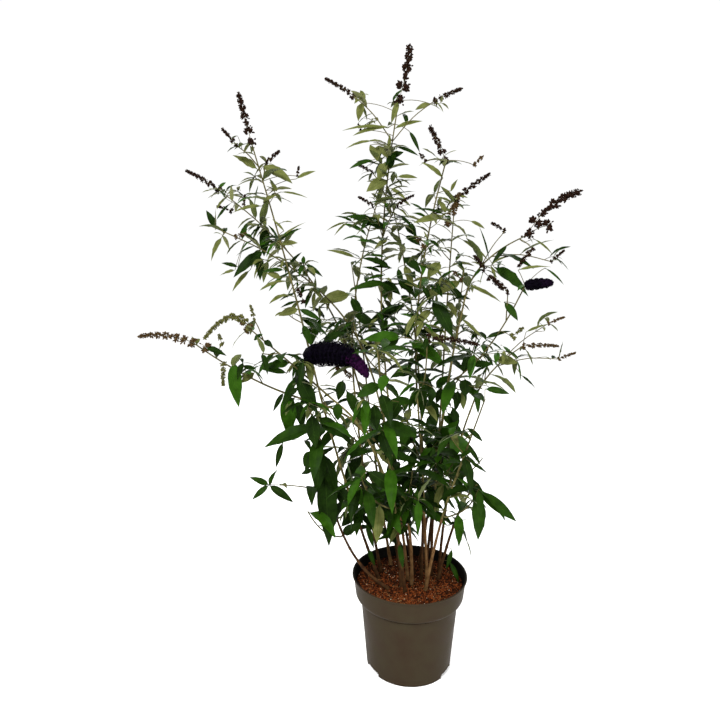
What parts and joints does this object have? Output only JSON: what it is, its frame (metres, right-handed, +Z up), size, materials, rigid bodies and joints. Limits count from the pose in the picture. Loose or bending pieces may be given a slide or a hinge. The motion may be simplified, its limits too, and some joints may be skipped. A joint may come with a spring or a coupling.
{
  "type": "butterfly bush in a nursery pot",
  "caption": "Tall open butterfly bush of arching canes with lance-shaped leaves and tapering flower spikes, in a round plastic nursery pot with a deep collar.",
  "frame": {"origin": "middle of the flat underside of the pot", "axes": "+Z up along the pot's axis, +X to the right and -Y towards the viewer in the front view"},
  "size_m": [1.0914, 0.8661, 1.6004],
  "materials": {
    "pot": "taupe moulded plastic, satin",
    "potting_soil": "moist reddish brown coir mix",
    "bark": "tan to olive bark, matt",
    "leaf": "deep green above, felted pale grey green below",
    "blossom": "dark violet florets on an olive brown spike"
  },
  "bodies": {
    "root": {"cane_back_left": "bark", "cane_back_right": "bark", "cane_far_left": "bark", "cane_front_left": "bark", "cane_front_right": "bark", "cane_left_arch": "bark", "cane_left_bow": "bark", "cane_left_high": "bark", "cane_left_leafy": "bark", "cane_left_rear": "bark", "cane_left_rim": "bark", "cane_middle": "bark", "cane_middle_thin": "bark", "cane_right_high": "bark", "cane_right_low": "bark", "cane_right_mid": "bark", "cane_right_rear": "bark", "cane_right_thin": "bark", "foliage_back_left_low": "leaf", "foliage_back_left_top": "leaf", "foliage_back_right_low": "leaf", "foliage_back_right_top": "leaf", "foliage_far_left_low": "leaf", "foliage_far_left_top": "leaf", "foliage_front_left_low": "leaf", "foliage_front_left_top": "leaf", "foliage_front_right_low": "leaf", "foliage_front_right_top": "leaf", "foliage_left_arch_low": "leaf", "foliage_left_arch_top": "leaf", "foliage_left_bow_low": "leaf", "foliage_left_bow_top": "leaf", "foliage_left_high_bloom": "blossom", "foliage_left_high_low": "leaf", "foliage_left_high_top": "leaf", "foliage_left_leafy_top": "leaf", "foliage_left_rear_low": "leaf", "foliage_left_rear_side": "leaf", "foliage_left_rear_top": "leaf", "foliage_left_rim_side": "leaf", "foliage_left_rim_top": "leaf", "foliage_left_star": "leaf", "foliage_middle_side": "leaf", "foliage_middle_thin_low": "leaf", "foliage_middle_thin_top": "leaf", "foliage_middle_top": "leaf", "foliage_right_high_low": "leaf", "foliage_right_high_side": "blossom", "foliage_right_high_top": "leaf", "foliage_right_low_top": "leaf", "foliage_right_mid_low": "leaf", "foliage_right_mid_top": "leaf", "foliage_right_rear_low": "leaf", "foliage_right_rear_side": "leaf", "foliage_right_rear_top": "leaf", "foliage_right_thin_low": "leaf", "foliage_right_thin_side": "leaf", "foliage_right_thin_top": "leaf", "pot": "pot", "potting_soil": "potting_soil"}
  },
  "joints": []
}
